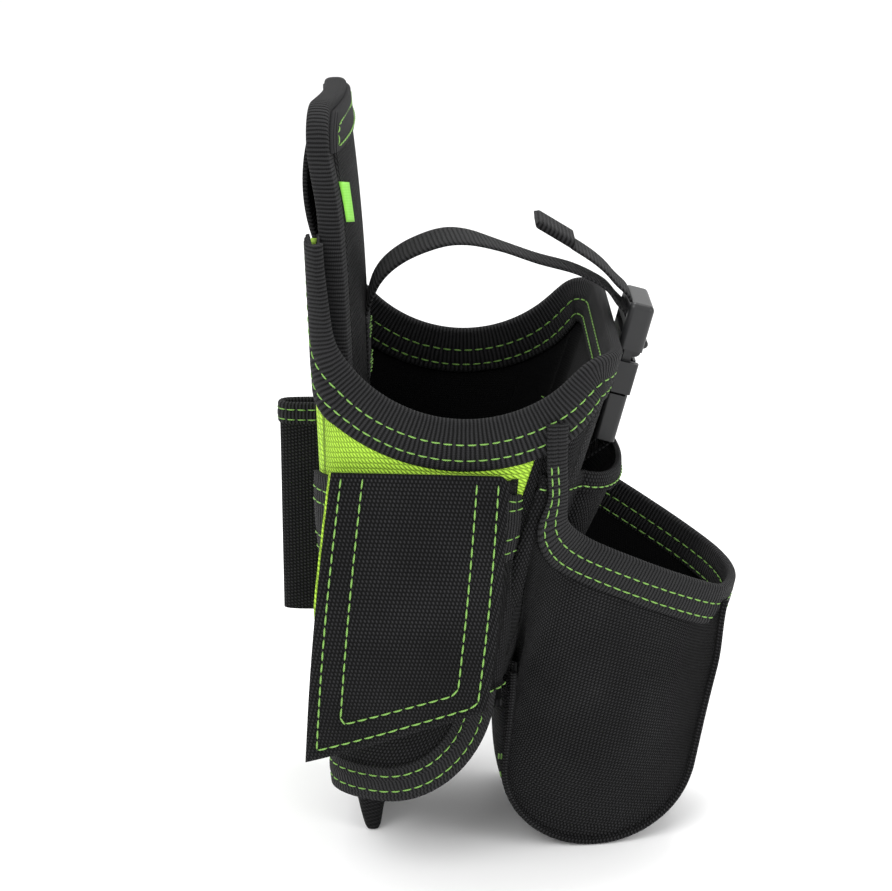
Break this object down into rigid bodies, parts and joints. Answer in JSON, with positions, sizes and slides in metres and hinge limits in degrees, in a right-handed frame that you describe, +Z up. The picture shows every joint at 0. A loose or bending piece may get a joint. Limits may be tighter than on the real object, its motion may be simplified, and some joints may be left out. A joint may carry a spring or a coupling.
{
  "type": "electrician tool pouch",
  "caption": "Belt-worn electrician tool pouch: padded back board, open main pocket, scoop and side pockets, flap, side sleeve, and a buckled retaining strap.",
  "frame": {"origin": "centre of the bounding box's bottom face, on the ground the pouch stands on", "axes": "+X is the front, away from the wearer; +Y is the far side, with the flat sleeve; +Z is up"},
  "size_m": [0.206, 0.1794, 0.3267],
  "materials": {
    "black_fabric": "black ballistic weave",
    "webbing": "ribbed black webbing",
    "lime_fabric": "lime green coated weave",
    "piping": "black corded piping",
    "label": "woven label",
    "foam": "closed-cell foam",
    "stiffener_plastic": "polyethylene sheet",
    "touch_fastener": "hook and loop",
    "buckle_plastic": "satin black moulded acetal"
  },
  "bodies": {
    "pouch": {"belt_loop": "webbing", "board_binding": "webbing", "board_foam": "foam", "board_front_cover": "black_fabric", "board_label": "label", "board_rear_cover": "black_fabric", "board_stiffener": "stiffener_plastic", "bottom_panel": "black_fabric", "buckle_socket": "buckle_plastic", "far_side_wall": "lime_fabric", "far_sleeve": "black_fabric", "far_sleeve_rim": "webbing", "flap_anchor_band": "webbing", "front_wall": "black_fabric", "main_rim_webbing": "webbing", "near_side_wall": "lime_fabric", "rear_foot": "black_fabric", "scoop_far_panel": "black_fabric", "scoop_far_piping": "piping", "scoop_gusset": "black_fabric", "scoop_near_panel": "black_fabric", "scoop_near_piping": "piping", "scoop_rim_webbing": "webbing", "side_pocket": "black_fabric", "side_pocket_hem": "webbing", "side_pocket_loop_patch": "touch_fastener", "side_pocket_rim": "webbing", "socket_web_tab": "webbing", "strap_anchor": "webbing", "strap_root": "webbing", "tool_loop": "black_fabric", "tool_loop_hem": "webbing"},
    "strap": {"strap_webbing": "webbing", "buckle_plug": "buckle_plastic"},
    "near_arm": {"near_release_arm": "buckle_plastic"},
    "far_arm": {"far_release_arm": "buckle_plastic"},
    "tail": {"strap_tail": "webbing"},
    "flap": {"flap_outer": "black_fabric", "flap_lining": "lime_fabric", "flap_hook_patch": "touch_fastener"}
  },
  "joints": [
    {"name": "strap_swing", "type": "hinge", "parent": "pouch", "child": "strap", "pos_m": [-0.05751, 0.00659, 0.2316], "axis": [0, -1, 0], "range_deg": [0, 30]},
    {"name": "near_arm_squeeze", "type": "hinge", "parent": "strap", "child": "near_arm", "pos_m": [0.05144, -0.00581, 0.21961], "axis": [0.9681, 0, -0.2504], "range_deg": [0, 5], "stiffness_Nm_per_rad": 0.5},
    {"name": "far_arm_squeeze", "type": "hinge", "parent": "strap", "child": "far_arm", "pos_m": [0.05144, 0.01899, 0.21961], "axis": [-0.9681, 0, 0.2504], "range_deg": [0, 5], "stiffness_Nm_per_rad": 0.5},
    {"name": "tail_swing", "type": "hinge", "parent": "strap", "child": "tail", "pos_m": [0.05009, 0.00659, 0.2428], "axis": [0, 1, 0], "range_deg": [-8, 35], "stiffness_Nm_per_rad": 0.02},
    {"name": "flap_swing", "type": "hinge", "parent": "pouch", "child": "flap", "pos_m": [-0.02511, -0.06921, 0.1872], "axis": [-1, 0, 0], "range_deg": [0, 110]}
  ]
}
